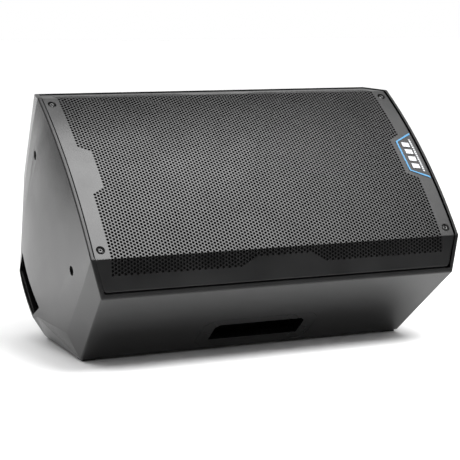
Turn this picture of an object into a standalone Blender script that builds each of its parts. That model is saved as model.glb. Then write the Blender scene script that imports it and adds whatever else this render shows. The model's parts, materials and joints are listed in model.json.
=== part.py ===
"""A 12-inch two-way powered loudspeaker lying on its side as a stage monitor wedge.

Every piece is modelled in the cabinet's own frame and then tipped onto the floor by one empty:
x runs along the cabinet's length, with the tweeter end at -x and the pole socket end at +x,
y runs back from the front face into the depth, and z runs across the width.
"""

import math

import bmesh
import bpy
from mathutils import Matrix, Vector

# Cabinet outline across its width, from the middle of the front round to the back.
FRONT_HALF = 0.1505  # half width of the curved main front
FRONT_CROWN = 0.0136  # how far the middle of the front stands proud of its edges
RIM_HALF = 0.1925  # half width at the rim corners, the widest place
RIM_DEPTH = 0.0366
SIDE_HALF = 0.1760  # half width where a side face meets a 45 degree rest face
SIDE_DEPTH = 0.2080
BACK_HALF = 0.0410
BACK_DEPTH = 0.3395

# Half lengths of the cabinet at those places.
FRONT_REACH = 0.29675
RIM_REACH = 0.28365
SIDE_REACH = 0.2674
BACK_REACH = 0.2582
CAP_REACH = 0.3000  # the end face at its middle, before its slope and crown
CAP_SLOPE = 0.02
CAP_CROWN = (0.06, 4.05)  # curvature of the end face across the width, per metre, and its growth with depth

# Corners of the flat part of an end face, as (half width, depth).
CAP_CREASE = (0.1490, 0.0600)
CAP_SHOULDER = (0.1340, 0.1965)
CAP_HIP = (0.0550, 0.2640)
CAP_REAR = (0.0450, 0.2800)
CAP_COLUMNS = 12

WALL = 0.0050
EDGE_ROUND = 0.0022
GAP = 0.0003  # between pieces that touch on the real object
FOOT_HEIGHT = 0.0030
END_FOOT_REACH = 0.3030
END_FOOT_ROOT = 0.2820
END_FOOT_R = 0.0130
END_FOOT_ROWS = ((0.0520, 0.1300), (0.2080, 0.0880))

WEDGE_ANGLE = math.atan2(SIDE_HALF - BACK_HALF, BACK_DEPTH - SIDE_DEPTH)

# Front: grille, foam, baffle.
GRILLE_EDGE = 0.0066  # from the outside of the rim to the edge of the grille
GRILLE_RECESS = 0.0015  # how far the grille lies behind the rim round it
GRILLE_SHEET = 0.0015
FOAM_SHEET = 0.0040
SCREW_X = 0.2787
SCREW_Z = 0.1360
BAFFLE_FRONT = 0.0180
BAFFLE_THICK = 0.0100
BAFFLE_FLAT_HALF = 0.1580

# Drivers, as places along the length and radii.
WOOFER_X = 0.1240
WOOFER_FLANGE_R = 0.1520
WOOFER_HOLE_R = 0.1405
COIL_R = 0.0370
HORN_X = -0.1860
HORN_HALF = (0.0700, 0.1250)
THROAT_DEPTH = 0.1150
DRIVER_R = 0.0480
PORT_X = -0.0620
PORT_Z = 0.1180
PORT_R = 0.0260

# Amplifier bay, cut across the nose at the back.
BAY_LOW = -0.1500
BAY_HIGH = 0.1900
BAY_DEPTH = 0.3020
PANEL_THICK = 0.0030
PANEL_FACE = BAY_DEPTH + GAP + PANEL_THICK
PANEL_HALF = 0.0735

DISPLAY_PLACE = (-0.1150, 0.0000)
ENCODER_PLACE = (-0.0780, 0.0180)
BUTTON_PLACE = (-0.0780, -0.0180)
GAIN_PLACES = ((-0.0480, 0.0240), (-0.0480, -0.0240))
JACK_PLACES = ((-0.0080, 0.0260), (-0.0080, -0.0260))
LINK_PLACE = (0.0280, 0.0000)
SINK_PLACE = (0.0830, 0.0000)
INLET_PLACE = (0.1350, -0.0220)
SWITCH_PLACE = (0.1350, 0.0290)
JACK_R = 0.0120
JACK_FLANGE = 0.0020

# Hand recesses, rigging points and pole socket.
SIDE_CUP_DEPTH = 0.1620
SIDE_PANEL_HALF = 0.0945
TOP_CUP_FRONT = 0.2430
TOP_CUP_REAR = 0.2760
TOP_CUP_HALF = (0.0530, 0.0430)
TOP_CUP_INSIDE = 0.2480
RIG_DEPTH = 0.0795
RIG_HALF = 0.1082
RIG_R = 0.0070
POLE_DEPTH = 0.1850
POLE_R = 0.0182
POLE_LENGTH = 0.0900


def clear_scene():
    for found in list(bpy.data.objects):
        bpy.data.objects.remove(found, do_unlink=True)


def front_face(z):
    """Depth of the outside of the front at a place across the width: a crown between two bent sides."""
    if abs(z) <= FRONT_HALF:
        return -FRONT_CROWN * (1 - (z / FRONT_HALF) ** 2)
    return RIM_DEPTH * (abs(z) - FRONT_HALF) / (RIM_HALF - FRONT_HALF)


def cap_face(y, z):
    """Distance from the middle of the cabinet to the outside of an end face."""
    crown, growth = CAP_CROWN
    return CAP_REACH - CAP_SLOPE * y - (crown + growth * max(y, 0.0)) * z * z


def plastic(name, colour, roughness, metallic=0.0):
    material = bpy.data.materials.new(name)
    material.use_nodes = True
    shader = material.node_tree.nodes["Principled BSDF"]
    shader.inputs["Base Color"].default_value = (*colour, 1.0)
    shader.inputs["Roughness"].default_value = roughness
    shader.inputs["Metallic"].default_value = metallic
    material.diffuse_color = (*colour, 1.0)
    return material


def add_object(name, bm, material, parent, location=(0, 0, 0), rotation=None, smooth=30):
    """Turns a bmesh into a named object under its parent, with round stretches shaded smooth."""
    bmesh.ops.recalc_face_normals(bm, faces=bm.faces)
    mesh = bpy.data.meshes.new(name)
    bm.to_mesh(mesh)
    bm.free()
    mesh.shade_smooth()
    mesh.set_sharp_from_angle(angle=math.radians(smooth))
    made = bpy.data.objects.new(name, mesh)
    bpy.context.scene.collection.objects.link(made)
    made.parent = parent
    made.location = location
    if rotation is not None:
        made.rotation_euler = rotation
    if material is not None:
        made.data.materials.append(material)
    return made


def box_shape(bm, low, high):
    """A box between two corners, added to a bmesh."""
    low, high = Vector(low), Vector(high)
    place = Matrix.Translation((low + high) / 2) @ Matrix.Diagonal((high - low)).to_4x4()
    return bmesh.ops.create_cube(bm, size=1.0, matrix=place)["verts"]


def prism_shape(bm, outline, low, high, axis="y"):
    """An outline swept along an axis. The outline's pairs are the other two axes, in x, y, z order."""

    def point(first, second, along):
        if axis == "x":
            return (along, first, second)
        if axis == "y":
            return (first, along, second)
        return (first, second, along)

    ends = [[bm.verts.new(point(a, b, along)) for a, b in outline] for along in (low, high)]
    bm.faces.new(ends[0])
    bm.faces.new(ends[1][::-1])
    for near in range(len(outline)):
        far = (near + 1) % len(outline)
        bm.faces.new((ends[0][near], ends[1][near], ends[1][far], ends[0][far]))


def turned_shape(bm, profile, axis="y", segments=32, centre=(0, 0, 0)):
    """A closed profile of (radius, distance along the axis) turned into a solid of revolution."""
    rings = []
    for radius, along in profile:
        ring = []
        count = segments if radius > 0 else 1
        for step in range(count):
            angle = 2 * math.pi * step / segments
            across = (radius * math.cos(angle), radius * math.sin(angle))
            if axis == "x":
                place = Vector((along, *across))
            elif axis == "y":
                place = Vector((across[0], along, across[1]))
            else:
                place = Vector((*across, along))
            ring.append(bm.verts.new(place + Vector(centre)))
        rings.append(ring)
    for here, ring in enumerate(rings):
        after = rings[(here + 1) % len(rings)]
        if len(ring) == 1 and len(after) == 1:
            continue
        for step in range(segments):
            turn = (step + 1) % segments
            corners = [ring[step % len(ring)], ring[turn % len(ring)]]
            corners += [after[turn % len(after)], after[step % len(after)]]
            distinct = list(dict.fromkeys(corners))
            bm.faces.new(distinct)


def disc_shape(bm, radius, low, high, axis="y", segments=24, centre=(0, 0, 0)):
    turned_shape(bm, [(0, low), (radius, low), (radius, high), (0, high)], axis, segments, centre)


def box(name, low, high, material, parent, round_by=0.0, **place):
    bm = bmesh.new()
    box_shape(bm, low, high)
    made = add_object(name, bm, material, parent, **place)
    if round_by:
        round_edges(made, round_by)
    return made


def round_edges(target, width, segments=2, angle=35):
    bevel = target.modifiers.new("rounded edges", "BEVEL")
    bevel.width = width
    bevel.segments = segments
    bevel.limit_method = "ANGLE"
    bevel.angle_limit = math.radians(angle)
    return bevel


def cut(target, name, bm, parent, location=(0, 0, 0), rotation=None):
    """Takes the shapes in a bmesh out of the target."""
    cutter = add_object(name, bm, None, parent, location, rotation)
    cutter.hide_render = True
    cutter.display_type = "WIRE"
    boolean = target.modifiers.new(name, "BOOLEAN")
    boolean.operation = "DIFFERENCE"
    boolean.solver = "EXACT"
    boolean.object = cutter
    return cutter


def join(target, name, bm, parent, location=(0, 0, 0), rotation=None):
    """Adds the shapes in a bmesh to the target as one solid."""
    addition = cut(target, name, bm, parent, location, rotation)
    target.modifiers[name].operation = "UNION"
    return addition


def cabinet_rows():
    """Rows of (x, y, z) points over one end of the cabinet, from the front edge to the back."""

    def row(half, depth, reach, corner):
        points = []
        for step in range(CAP_COLUMNS + 1):
            z = half * (2 * step / CAP_COLUMNS - 1)
            y = front_face(z) if depth is None else depth
            points.append((reach if reach else cap_face(y, z), y, z))
        x, y, z = corner
        return [(x, y, -z), *points, (x, y, z)]

    crease = (CAP_CREASE[1] - RIM_DEPTH) / (SIDE_DEPTH - RIM_DEPTH)
    side_at_crease = (
        RIM_REACH + crease * (SIDE_REACH - RIM_REACH),
        CAP_CREASE[1],
        RIM_HALF + crease * (SIDE_HALF - RIM_HALF),
    )
    back = (BACK_REACH, BACK_DEPTH, BACK_HALF)
    return [
        row(FRONT_HALF, None, FRONT_REACH, (RIM_REACH, RIM_DEPTH, RIM_HALF)),
        row(*CAP_CREASE, None, side_at_crease),
        row(*CAP_SHOULDER, None, (SIDE_REACH, SIDE_DEPTH, SIDE_HALF)),
        row(*CAP_HIP, None, back),
        row(*CAP_REAR, None, back),
        row(BACK_HALF, BACK_DEPTH, BACK_REACH, back),
    ]


def loft_between_ends(rows):
    """A closed body whose +x end has these rows of points and whose -x end mirrors them."""
    bm = bmesh.new()
    ends = [[[bm.verts.new((side * x, y, z)) for x, y, z in row] for row in rows] for side in (1, -1)]
    last = len(rows[0]) - 1
    for end in ends:
        for upper, lower in zip(end, end[1:]):
            for step in range(last):
                bm.faces.new((upper[step], upper[step + 1], lower[step + 1], lower[step]))
    right, left = ends
    for step in range(last):
        bm.faces.new((right[0][step], left[0][step], left[0][step + 1], right[0][step + 1]))
        bm.faces.new((right[-1][step], right[-1][step + 1], left[-1][step + 1], left[-1][step]))
    for here in range(len(rows) - 1):
        for edge in (0, last):
            bm.faces.new((right[here][edge], right[here + 1][edge], left[here + 1][edge], left[here][edge]))
    bmesh.ops.remove_doubles(bm, verts=bm.verts, dist=1e-6)
    bmesh.ops.dissolve_degenerate(bm, dist=1e-6, edges=bm.edges)
    bmesh.ops.recalc_face_normals(bm, faces=bm.faces)
    return bm


def hollow_body(wall, mouth):
    """The cabinet's inside: every face moved in by the wall, and the front drawn out through the mouth."""
    rows = cabinet_rows()
    edge, crease = rows[0], rows[1]

    def inward(x, y, z):
        return (x - wall, y, z * (1 - wall / abs(z)) if abs(z) > 4 * wall else z)

    behind = 0.045
    lip = []
    for (x, y, z), (far_x, far_y, _) in zip(edge, crease):
        share = (behind - y) / (far_y - y)
        lip.append(inward(x + share * (far_x - x), behind, z))
    front = [inward(*point) for point in edge]
    step = [(x, y + 0.010, z) for x, y, z in front]
    out = [(x, mouth, z) for x, _, z in front]
    inner = [[inward(*point) for point in row] for row in rows[1:]]
    rest_shift = wall / math.sqrt(2)
    for row in inner[1:]:
        for corner in (0, -1):
            x, y, z = row[corner]
            row[corner] = (x, y - rest_shift, z)
    for row in inner[2:]:
        row[:] = [(x - wall / 2, min(y, BACK_DEPTH - wall), z) for x, y, z in row]
        for corner in (0, -1):
            x, _, z = row[corner]
            row[corner] = (x, BACK_DEPTH - wall, z)
    return loft_between_ends([out, step, lip, *inner])


def side_place(side):
    """Place and turn of a frame on a side face: x along the cabinet, y back along the face, z out."""
    share = (SIDE_CUP_DEPTH - RIM_DEPTH) / (SIDE_DEPTH - RIM_DEPTH)
    half = RIM_HALF + share * (SIDE_HALF - RIM_HALF)
    lean = math.atan2(RIM_HALF - SIDE_HALF, SIDE_DEPTH - RIM_DEPTH)
    turn = Matrix.Rotation(-lean, 3, "X")
    if side < 0:
        turn = Matrix.Rotation(lean, 3, "X") @ Matrix.Rotation(math.pi, 3, "Y")
    return (0, SIDE_CUP_DEPTH, side * half), turn.to_euler()


def rest_place(across, along):
    """A point on the lower 45 degree face, at a share of the way from its front edge to its back edge."""
    y = SIDE_DEPTH + across * (BACK_DEPTH - SIDE_DEPTH)
    z = -(SIDE_HALF + across * (BACK_HALF - SIDE_HALF))
    return (along, y, z)


def chamfered(half, low, high, corner, rear_corner=None):
    """A rectangle with cut corners: half its length in x, and its reach in the second axis."""
    rear = corner if rear_corner is None else rear_corner
    return [
        (-half, low + corner),
        (-half + corner, low),
        (half - corner, low),
        (half, low + corner),
        (half, high - rear),
        (half - rear, high),
        (-half + rear, high),
        (-half, high - rear),
    ]


def make_cabinet(mats, frame):
    shell = add_object("cabinet_shell", loft_between_ends(cabinet_rows()), mats["shell"], frame)
    round_edges(shell, EDGE_ROUND, segments=2, angle=14)
    cut(shell, "cabinet_inside", hollow_body(WALL, -0.06), frame)

    bay = bmesh.new()
    box_shape(bay, (BAY_LOW, BAY_DEPTH, -0.2), (BAY_HIGH, 0.4, 0.2))
    cut(shell, "amplifier_bay", bay, frame)

    for side, name in ((-1, "lower"), (1, "upper")):
        place, turn = side_place(side)
        bm = bmesh.new()
        prism_shape(bm, chamfered(SIDE_PANEL_HALF + GAP, -0.0363, 0.0373, 0.014), -0.0028, 0.02, "z")
        cut(shell, f"{name}_handle_rebate", bm, frame, place, turn)
        bm = bmesh.new()
        box_shape(bm, (-0.0803, -0.0283, -0.04), (0.0803, 0.0323, 0.01))
        cut(shell, f"{name}_handle_hole", bm, frame, place, turn)

    bm = bmesh.new()
    wide, narrow = TOP_CUP_HALF
    outline = [(TOP_CUP_FRONT, -wide), (TOP_CUP_FRONT, wide), (TOP_CUP_REAR, narrow), (TOP_CUP_REAR, -narrow)]
    prism_shape(bm, outline, -0.32, -0.27, "x")
    cut(shell, "top_handle_hole", bm, frame)

    bm = bmesh.new()
    for end in (-1, 1):
        for side in (-1, 1):
            low, high = sorted((end * 0.25, end * 0.33))
            disc_shape(bm, RIG_R + GAP, low, high, "x", 12, (0, RIG_DEPTH, side * RIG_HALF))
    disc_shape(bm, 0.0275, 0.25, 0.33, "x", 24, (0, POLE_DEPTH, 0))
    for y, z in end_foot_places():
        disc_shape(bm, END_FOOT_R + GAP, 0.25, 0.33, "x", 16, (0, y, z))
    cut(shell, "end_holes", bm, frame)
    return shell


def front_sheet(inset, near, far, columns=14):
    """A sheet that follows the curved front between two depths behind it."""
    half = RIM_HALF - inset
    stations = [FRONT_HALF * (2 * step / columns - 1) for step in range(columns + 1)]
    stations = [-half, *stations, half]
    bm = bmesh.new()
    share = (half - FRONT_HALF) / (RIM_HALF - FRONT_HALF)
    reach = [FRONT_REACH - inset] * len(stations)
    reach[0] = reach[-1] = FRONT_REACH + share * (RIM_REACH - FRONT_REACH) - inset
    layers = []
    for depth in (near, far):
        lines = []
        for z, x in zip(stations, reach):
            y = front_face(z) + depth
            lines.append((bm.verts.new((x, y, z)), bm.verts.new((-x, y, z))))
        layers.append(lines)
    front, rear = layers
    for here in range(len(stations) - 1):
        for layer, flip in ((front, 1), (rear, -1)):
            corners = (layer[here][0], layer[here][1], layer[here + 1][1], layer[here + 1][0])
            bm.faces.new(corners[::flip])
        for end in (0, 1):
            bm.faces.new((front[here][end], front[here + 1][end], rear[here + 1][end], rear[here][end]))
    for here in (0, -1):
        bm.faces.new((front[here][0], front[here][1], rear[here][1], rear[here][0]))
    return bm


def screw_places():
    """Place and turn of each grille screw, square to the curved front where it stands."""
    places = []
    for x in (-SCREW_X, SCREW_X):
        for z in (-SCREW_Z, SCREW_Z):
            lean = math.atan(2 * FRONT_CROWN * z / FRONT_HALF**2)
            places.append((Vector((x, front_face(z), z)), (-lean, 0, 0)))
    return places


def drill_screws(target, radius, frame):
    bm = bmesh.new()
    for place, (lean, _, _) in screw_places():
        verts = set(bm.verts)
        disc_shape(bm, radius, -0.03, 0.06, "y", 12)
        matrix = Matrix.Translation(place) @ Matrix.Rotation(lean, 4, "X")
        bmesh.ops.transform(bm, matrix=matrix, verts=[v for v in bm.verts if v not in verts])
    cut(target, f"{target.name}_screw_holes", bm, frame)


def make_grille(mats, frame):
    sheet_back = GRILLE_RECESS + GRILLE_SHEET
    grille = add_object("grille", front_sheet(GRILLE_EDGE, GRILLE_RECESS, sheet_back), mats["grille"], frame)
    drill_screws(grille, 0.0028, frame)
    foam = add_object(
        "grille_foam",
        front_sheet(GRILLE_EDGE + 0.003, sheet_back + GAP, sheet_back + GAP + FOAM_SHEET),
        mats["foam"],
        frame,
    )
    drill_screws(foam, 0.0040, frame)
    for number, (place, turn) in enumerate(screw_places(), 1):
        profile = [(0, -0.0026), (0.0028, -0.0023), (0.0046, -0.0009), (0.0048, 0), (0.0024, 0)]
        profile += [(0.0024, 0.0175), (0, 0.0175)]
        bm = bmesh.new()
        turned_shape(bm, profile, "y", 12)
        head_rest = place + Vector((0, GRILLE_RECESS - 2 * GAP, 0))
        add_object(f"grille_screw_{number}", bm, mats["screw"], frame, head_rest, turn)

    bm = bmesh.new()
    sheet = [(0.2560, -0.0300), (0.2875, -0.0465), (0.2875, 0.0465), (0.2560, 0.0300)]
    prism_shape(bm, sheet, -0.0012, 0, "y")
    badge = add_object("badge_plate", bm, mats["badge"], frame, (0, GRILLE_RECESS - FRONT_CROWN - GAP, 0))
    return grille, badge


def make_baffle(mats, frame):
    """The panel that holds the drivers, bent back at both long edges like the grille in front of it."""
    half = SIDE_HALF + 0.0095
    rise = (half - BAFFLE_FLAT_HALF) * RIM_DEPTH / (RIM_HALF - FRONT_HALF)
    front = [(-half, BAFFLE_FRONT + rise), (-BAFFLE_FLAT_HALF, BAFFLE_FRONT)]
    front += [(BAFFLE_FLAT_HALF, BAFFLE_FRONT), (half, BAFFLE_FRONT + rise)]
    outline = [(y, z) for z, y in front] + [(y + BAFFLE_THICK, z) for z, y in reversed(front)]
    bm = bmesh.new()
    prism_shape(bm, outline, -0.2760, 0.2760, "x")
    baffle = add_object("front_baffle", bm, mats["baffle"], frame)

    bm = bmesh.new()
    disc_shape(bm, WOOFER_HOLE_R + GAP, -0.02, 0.08, "y", 48, (WOOFER_X, 0, 0))
    low_x, high_x = HORN_X - HORN_HALF[0] + 0.004, HORN_X + HORN_HALF[0] - 0.004
    box_shape(bm, (low_x, -0.02, -HORN_HALF[1] + 0.004), (high_x, 0.08, HORN_HALF[1] - 0.004))
    for side in (-1, 1):
        disc_shape(bm, PORT_R + 0.003 + GAP, -0.02, 0.08, "y", 24, (PORT_X, 0, side * PORT_Z))
    cut(baffle, "driver_holes", bm, frame)
    return baffle


def make_woofer(mats, frame):
    """Basket, magnet, moving parts and the two rings that flex, all turned about the driver's axis."""
    centre = (WOOFER_X, 0, 0)
    face = BAFFLE_FRONT - GAP

    bm = bmesh.new()
    flange = [(0.1390, face - 0.005), (WOOFER_FLANGE_R, face - 0.005), (WOOFER_FLANGE_R, face), (0.1400, face)]
    wall = [(0.1390, 0.0340), (0.0790, 0.1000), (0.0790, 0.1120), (0.0480, 0.1120)]
    inside = [(0.0480, 0.1085), (0.0755, 0.1085), (0.0755, 0.0985), (0.1360, 0.0320), (0.1360, face - 0.003)]
    turned_shape(bm, [*flange, *wall, *inside], "y", 32)
    basket = add_object("woofer_basket", bm, mats["basket"], frame, centre)
    windows = bmesh.new()
    for step in range(6):
        turn = Matrix.Rotation(2 * math.pi * (step + 0.5) / 6, 4, "Y")
        verts = box_shape(windows, (0.070, 0.050, -0.030), (0.160, 0.088, 0.030))
        bmesh.ops.transform(windows, matrix=turn, verts=verts)
    cut(basket, "basket_windows", windows, frame, centre)

    bm = bmesh.new()
    top, bottom = 0.1123, 0.1560
    gap_out, gap_in, floor = COIL_R + 0.0028, COIL_R - 0.0022, 0.1480
    ring = [(gap_in, top - 0.003), (gap_in, floor), (gap_out, floor), (gap_out, top)]
    body = [(0.0660, top), (0.0660, 0.1190), (0.0780, 0.1190), (0.0780, 0.1430), (0.0660, 0.1430)]
    turned_shape(bm, [(0.010, top - 0.003), *ring, *body, (0.0660, bottom), (0.010, bottom)], "y", 28)
    add_object("woofer_magnet", bm, mats["magnet"], frame, centre)

    bm = bmesh.new()
    cone = [(0.1240, 0.0210), (0.1240, 0.0250), (0.0800, 0.0580), (0.0376, 0.0780)]
    cone += [(0.0376, 0.0750), (0.0800, 0.0545), (0.1210, 0.0210)]
    turned_shape(bm, cone, "y", 32)
    add_object("woofer_cone", bm, mats["cone"], frame, centre)

    bm = bmesh.new()
    coil = [(COIL_R - 0.0006, 0.0790), (COIL_R + 0.0006, 0.0790), (COIL_R + 0.0006, 0.1300)]
    turned_shape(bm, [*coil, (COIL_R - 0.0006, 0.1300)], "y", 24)
    add_object("voice_coil", bm, mats["coil"], frame, centre)

    bm = bmesh.new()
    dome = [(0, 0.0560), (0.0150, 0.0585), (0.0290, 0.0660), (0.0365, 0.0745), (0.0345, 0.0765)]
    turned_shape(bm, [*dome, (0.0270, 0.0680), (0.0140, 0.0610), (0, 0.0590)], "y", 24)
    add_object("dust_cap", bm, mats["cone"], frame, centre)

    bm = bmesh.new()
    outer, inner, rise = 0.1357, 0.1243, 0.0070
    steps = 5
    arch = []
    for step in range(steps + 1):
        angle = math.pi * step / steps
        middle, radius = (outer + inner) / 2, (outer - inner) / 2
        arch.append((middle - radius * math.cos(angle), 0.0215 - rise * math.sin(angle)))
    under = [(radius, along + 0.0016) for radius, along in reversed(arch)]
    turned_shape(bm, [*arch, *under], "y", 32)
    add_object("woofer_surround", bm, mats["rubber"], frame, centre)

    bm = bmesh.new()
    waves = []
    for step in range(7):
        waves.append((0.0380 + 0.0370 * step / 6, 0.0990 + (0.0018 if step % 2 else 0)))
    under = [(radius, along + 0.0010) for radius, along in reversed(waves)]
    turned_shape(bm, [*waves, *under], "y", 24)
    add_object("woofer_spider", bm, mats["cloth"], frame, centre)


def horn_ring(bm, half_x, half_z, depth, squareness, count=28):
    """A ring that blends from a circle to a rounded rectangle as squareness goes from 0 to 1."""
    ring = []
    power = 1 - 0.72 * squareness
    for step in range(count):
        angle = 2 * math.pi * step / count
        across, up = math.cos(angle), math.sin(angle)
        x = half_x * math.copysign(abs(across) ** power, across)
        z = half_z * math.copysign(abs(up) ** power, up)
        ring.append(bm.verts.new((x, depth, z)))
    return ring


def make_horn(mats, frame):
    bm = bmesh.new()
    steps = 5
    mouth_x, mouth_z = HORN_HALF[0] - 0.009, HORN_HALF[1] - 0.009
    face = BAFFLE_FRONT - GAP
    inner, outer = [], []
    for step in range(steps + 1):
        share = step / steps
        flare = share**1.6
        depth = THROAT_DEPTH + (face - 0.004 - THROAT_DEPTH) * share
        half_x = 0.0127 + (mouth_x - 0.0127) * flare
        half_z = 0.0127 + (mouth_z - 0.0127) * share
        inner.append(horn_ring(bm, half_x, half_z, depth, share))
        if step < steps:
            outer.append(horn_ring(bm, half_x + 0.0035, half_z + 0.0035, depth, share))
    under = face
    outer.append(horn_ring(bm, mouth_x + 0.0035, mouth_z + 0.0035, under, 1))
    lip = [horn_ring(bm, HORN_HALF[0] + 0.006, HORN_HALF[1] + 0.006, d, 1) for d in (under, face - 0.004)]
    path = [*outer[::-1], *inner, lip[1], lip[0]]
    for here, ring in enumerate(path):
        after = path[(here + 1) % len(path)]
        for step in range(len(ring)):
            turn = (step + 1) % len(ring)
            bm.faces.new((ring[step], ring[turn], after[turn], after[step]))
    add_object("horn_waveguide", bm, mats["gloss"], frame, (HORN_X, 0, 0))

    bm = bmesh.new()
    front, rear = THROAT_DEPTH + GAP, THROAT_DEPTH + 0.052
    profile = [(0.0127, front), (0.0300, front), (0.0300, front + 0.008), (DRIVER_R, front + 0.008)]
    profile += [(DRIVER_R, rear - 0.006), (0.040, rear), (0, rear), (0, front + 0.030), (0.0127, front + 0.030)]
    turned_shape(bm, profile, "y", 24)
    add_object("compression_driver", bm, mats["magnet"], frame, (HORN_X, 0, 0))


def make_ports(mats, frame):
    face = BAFFLE_FRONT - GAP
    for number, side in enumerate((-1, 1), 1):
        bm = bmesh.new()
        profile = [(PORT_R, face - 0.003), (PORT_R + 0.008, face - 0.003), (PORT_R + 0.008, face)]
        profile += [(PORT_R + 0.003, face), (PORT_R + 0.003, 0.118), (PORT_R, 0.118)]
        turned_shape(bm, profile, "y", 20)
        add_object(f"port_tube_{number}", bm, mats["baffle"], frame, (PORT_X, 0, side * PORT_Z))


def make_side_handles(mats, frame):
    """A moulded tray in each side face, with a lip at its rear edge that the fingers hook behind."""
    for number, side in enumerate((-1, 1), 1):
        place, turn = side_place(side)
        bm = bmesh.new()
        prism_shape(bm, chamfered(SIDE_PANEL_HALF, -0.0360, 0.0370, 0.014), -0.0025, 0.0, "z")
        tray = add_object(f"side_handle_{number}", bm, mats["handle"], frame, place, turn)
        bm = bmesh.new()
        box_shape(bm, (-0.0800, -0.0280, -0.0450), (0.0800, 0.0320, -0.0015))
        join(tray, f"tray_{number}", bm, frame, place, turn)
        bm = bmesh.new()
        prism_shape(bm, chamfered(0.0740, -0.0220, 0.0200, 0.007, 0.001), -0.0425, 0.01, "z")
        cut(tray, f"finger_room_{number}", bm, frame, place, turn)
        bm = bmesh.new()
        box_shape(bm, (-0.0735, -0.0215, -0.0424), (0.0735, 0.0290, -0.0100))
        cut(tray, f"finger_hook_{number}", bm, frame, place, turn)


def make_top_handle(mats, frame):
    """The hand recess in the tweeter end: a ribbed pocket between the end face and the back."""
    wide, narrow = TOP_CUP_HALF

    def outline(inset):
        front, rear = TOP_CUP_FRONT + inset, TOP_CUP_REAR - inset
        return [(front, -wide + inset), (front, wide - inset), (rear, narrow - inset), (rear, -narrow + inset)]

    bm = bmesh.new()
    prism_shape(bm, outline(GAP), -0.2895, -TOP_CUP_INSIDE, "x")
    pocket = add_object("top_handle_pocket", bm, mats["handle"], frame)
    bm = bmesh.new()
    prism_shape(bm, outline(0.0022), -0.31, -TOP_CUP_INSIDE - 0.0025, "x")
    cut(pocket, "hand_room", bm, frame)


def make_rigging(mats, frame):
    number = 0
    for end in (-1, 1):
        for side in (-1, 1):
            number += 1
            reach = cap_face(RIG_DEPTH, RIG_HALF) - 0.0025
            bm = bmesh.new()
            profile = [(0, -0.030), (RIG_R, -0.030), (RIG_R, 0), (0.0052, 0), (0.0052, -0.003)]
            turned_shape(bm, [*profile, (0.0030, -0.003), (0.0030, -0.009), (0, -0.009)], "x", 12)
            turn = (0, 0, math.pi) if end < 0 else None
            place = (end * reach, RIG_DEPTH, side * RIG_HALF)
            add_object(f"rigging_plug_{number}", bm, mats["screw"], frame, place, turn)


def make_pole_socket(mats, frame):
    bm = bmesh.new()
    face = cap_face(POLE_DEPTH, 0.0)
    rim, seat, skin = 0.0330, 0.0011, 0.0032
    profile = [
        (POLE_R, face + skin),
        (rim, face + skin),
        (rim, face + seat),
        (0.0270, face + seat),
        (0.0270, face - 0.010),
        (0.0215, face - 0.014),
        (0.0215, face - POLE_LENGTH - 0.003),
        (0, face - POLE_LENGTH - 0.003),
        (0, face - POLE_LENGTH),
        (POLE_R, face - POLE_LENGTH),
    ]
    turned_shape(bm, profile, "x", 24)
    add_object("pole_socket", bm, mats["handle"], frame, (0, POLE_DEPTH, 0))


def make_feet(mats, frame):
    """Pads at the corners of the lower 45 degree face, and pads on the pole socket end for standing up."""
    number = 0
    for along in (-1, 1):
        for across, reach in ((0.075, 0.2530), (0.915, 0.2430)):
            number += 1
            box(
                f"wedge_foot_{number}",
                (-0.011, -0.011, -FOOT_HEIGHT),
                (0.011, 0.011, -GAP),
                mats["rubber"],
                frame,
                round_by=0.0012,
                location=rest_place(across, along * reach),
                rotation=(WEDGE_ANGLE, 0, 0),
            )
    for number, (y, z) in enumerate(end_foot_places(), 1):
        bm = bmesh.new()
        tip = END_FOOT_R - 0.002
        profile = [(0, END_FOOT_ROOT), (END_FOOT_R, END_FOOT_ROOT), (END_FOOT_R, END_FOOT_REACH - 0.004)]
        turned_shape(bm, [*profile, (tip, END_FOOT_REACH), (0, END_FOOT_REACH)], "x", 16)
        add_object(f"end_foot_{number}", bm, mats["rubber"], frame, (0, y, z))


def end_foot_places():
    return [(y, side * z) for y, z in END_FOOT_ROWS for side in (-1, 1)]


def on_panel(place, out=0.0):
    """A point on the amplifier panel's face, given as (x, z), and how far it stands out of it."""
    return (place[0], PANEL_FACE + out, place[1])


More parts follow.
